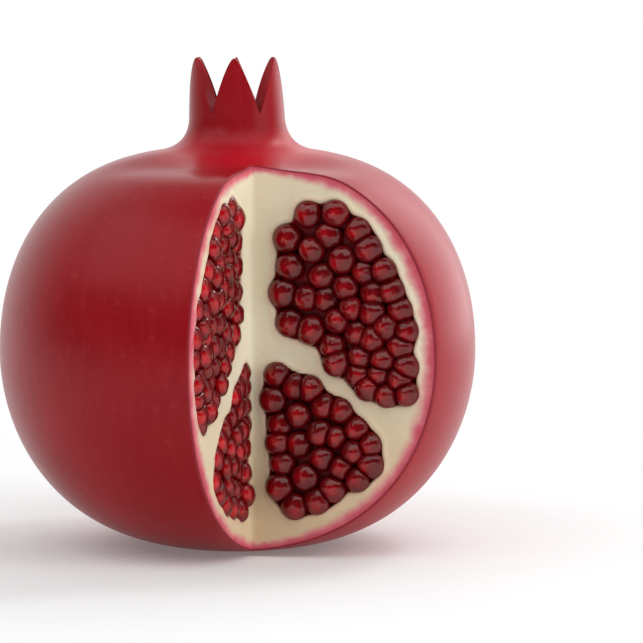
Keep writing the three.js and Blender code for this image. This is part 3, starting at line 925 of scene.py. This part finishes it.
def aril_material():
    """Wet aril flesh with a glassy coat and fine veins that run through it. Its colour holds
    painted shade, dark red at the sides where the arils meet, and painted light, a bright red
    core."""
    material, shading, shader = new_material("pomegranate_aril")
    tint = shading.attribute("tint")
    vein = shading.noise(shading.coordinates(), 900.0, 2.0, 0.6)
    veined = shading.ramp(vein, 0.3, 0.7, -0.1, 0.1, False)
    # the painted light of each aril, made uneven by the veins
    lit = shading.add(shading.attribute("painted_core_light"), veined)
    # painted shade: the dark red of the sides where the arils crowd together
    painted_shade_red = shading.mix(tint, paint(84, 4, 10), paint(106, 7, 14))
    body = shading.mix(shading.ramp(lit, 0.02, 0.4), painted_shade_red, paint(124, 6, 15))
    # painted light: the bright red of the core
    painted_light_red = shading.mix(tint, paint(182, 9, 22), paint(206, 16, 28))
    shading.finish(shader, {
        "Base Color": shading.mix(shading.ramp(lit, 0.35, 0.95), body, painted_light_red),
        "Roughness": 0.11,
        "Specular IOR Level": 0.55,
        "Specular Tint": (1.0, 0.8, 0.75, 1.0),
        "Coat Weight": 0.1,
        "Coat Roughness": 0.03,
        "Subsurface Weight": 0.3,
        "Subsurface Radius": (1.0, 0.12, 0.08),
        "Subsurface Scale": 0.0018,
    })
    bump(shading, shader, vein, 0.00006, 0.4)
    return material


def stamen_material():
    """Dry filaments: brown with a paler, dusty anther at the tip."""
    material, shading, shader = new_material("dried_stamen")
    dust = shading.noise(shading.coordinates(), 900.0, 3.0, 0.6)
    thread = shading.mix(shading.ramp(dust, 0.3, 0.7), paint(116, 58, 38), paint(150, 92, 58))
    anther = shading.ramp(shading.attribute("tip_share"), 0.75, 0.95)
    shading.finish(shader, {
        "Base Color": shading.mix(anther, thread, paint(186, 142, 86)),
        "Roughness": 0.85,
    })
    bump(shading, shader, dust, 0.0001, 0.5)
    return material


# ---- Stage, light and camera ------------------------------------------------------------


FLOOR_RADIUS = 3.0
FLOOR_CORNERS = 96


def floor_material():
    """Pale, dull floor that turns into plain white away from the fruit."""
    material, shading, shader = new_material("pale_floor")
    grain = shading.noise(shading.coordinates(), 6.0, 2.0)
    shading.finish(shader, {
        "Base Color": shading.mix(grain, paint(246, 246, 246), paint(250, 250, 250)),
        "Roughness": 0.9,
        "Specular IOR Level": 0.0,
    })
    away = shading.node("ShaderNodeVectorMath", operation="LENGTH")
    shading.join(shading.coordinates(), away.inputs[0])
    glow = shading.node("ShaderNodeEmission")
    blend = shading.node("ShaderNodeMixShader")
    whiter = shading.ramp(away.outputs["Value"], 0.09, 0.26, 0.15, 1.0)
    shading.join(whiter, blend.inputs["Fac"])
    shading.join(shader.outputs["BSDF"], blend.inputs[1])
    shading.join(glow.outputs["Emission"], blend.inputs[2])
    out = material.node_tree.nodes["Material Output"]
    shading.join(blend.outputs["Shader"], out.inputs["Surface"])
    return material


def make_floor():
    """A wide round floor that the fruit stands on."""
    turn = np.linspace(0, 2 * math.pi, FLOOR_CORNERS, endpoint=False)
    points = FLOOR_RADIUS * np.stack([np.cos(turn), np.sin(turn), np.zeros(FLOOR_CORNERS)], 1)
    mesh = bpy.data.meshes.new("floor")
    mesh.from_pydata(points.tolist(), [], [list(range(FLOOR_CORNERS))])
    mesh.materials.append(floor_material())
    floor = bpy.data.objects.new("floor", mesh)
    bpy.context.scene.collection.objects.link(floor)


def soft_light(name, place, target, size, power):
    """A rectangular soft box at a place in metres that faces a target."""
    lamp = bpy.data.lights.new(name, "AREA")
    lamp.shape = "RECTANGLE"
    lamp.size, lamp.size_y = size
    lamp.energy = power
    lamp_object = bpy.data.objects.new(name, lamp)
    lamp_object.location = place
    aim = Vector(target) - Vector(place)
    lamp_object.rotation_euler = aim.to_track_quat("-Z", "Y").to_euler()
    bpy.context.scene.collection.objects.link(lamp_object)


def make_world():
    """White surroundings to the eye; the light they give is brighter from behind the fruit
    than from the front, as in a pale studio with its boxes at the sides."""
    world = bpy.data.worlds.new("studio")
    world.use_nodes = True
    bpy.context.scene.world = world
    shading = Shading(world.node_tree)
    backdrop = world.node_tree.nodes["Background"]
    backdrop.inputs["Strength"].default_value = 1.0
    place = shading.node("ShaderNodeTexCoord").outputs["Generated"]
    parts = shading.node("ShaderNodeSeparateXYZ")
    shading.join(place, parts.inputs["Vector"])
    lit = shading.ramp(parts.outputs["Y"], -0.2, 0.8, 0.05, 1.0)
    grey = shading.node("ShaderNodeCombineColor")
    for channel in ("Red", "Green", "Blue"):
        shading.join(lit, grey.inputs[channel])
    seen = shading.node("ShaderNodeLightPath").outputs["Is Camera Ray"]
    colour = shading.mix(seen, grey.outputs["Color"], (1.0, 1.0, 1.0, 1.0))
    shading.join(colour, backdrop.inputs["Color"])


CAMERA_DISTANCE = 0.8
CAMERA_TILT = math.radians(5.24)
CAMERA_TARGET = Vector((0.01937, 0.0, 0.05166))
FIELD_WIDTH = 0.148987  # of what the camera sees at its target


def make_camera():
    """A long lens, a little above the middle of the fruit and looking slightly down."""
    back = Vector((0.0, -math.cos(CAMERA_TILT), math.sin(CAMERA_TILT)))
    camera = bpy.data.cameras.new("camera")
    camera.lens = camera.sensor_width * CAMERA_DISTANCE / FIELD_WIDTH
    camera_object = bpy.data.objects.new("camera", camera)
    camera_object.location = CAMERA_TARGET + back * CAMERA_DISTANCE
    camera_object.rotation_euler = (-back).to_track_quat("-Z", "Y").to_euler()
    bpy.context.scene.collection.objects.link(camera_object)
    bpy.context.scene.camera = camera_object


def light_stage():
    """Soft boxes round and above the fruit; those on the right are the brighter ones, and
    a narrow strip and a small box give the highlights on the arils and the neck."""
    middle, neck = (0.0, 0.0, 0.05), (0.0, 0.0, 0.09)
    soft_light("right_front_box", (0.72, -0.36, 0.3), middle, (0.6, 0.9), 0.8)
    soft_light("right_front_strip", (0.72, -0.36, 0.3), middle, (0.22, 0.6), 2.35)
    soft_light("right_back_box", (0.6, 0.55, 0.25), middle, (0.6, 0.9), 2.0)
    soft_light("top_back_box", (0.3, 0.55, 0.62), middle, (0.9, 0.6), 1.1)
    soft_light("crown_box", (0.5, 0.33, 0.82), neck, (0.25, 0.25), 1.4)
    soft_light("high_right_box", (0.3, -0.5, 0.85), middle, (1.0, 0.7), 3.2)
    soft_light("high_left_box", (-0.6, -0.4, 0.8), middle, (1.2, 0.8), 4.0)


def main():
    bpy.context.scene.view_settings.view_transform = "Standard"
    chambers = aril_chambers()
    group = mottle_group()
    make_husk(skin_material(group), pith_material(group), chambers)
    make_arils(chambers, aril_material())
    make_stamens(stamen_material())
    make_floor()
    make_world()
    light_stage()
    make_camera()


main()
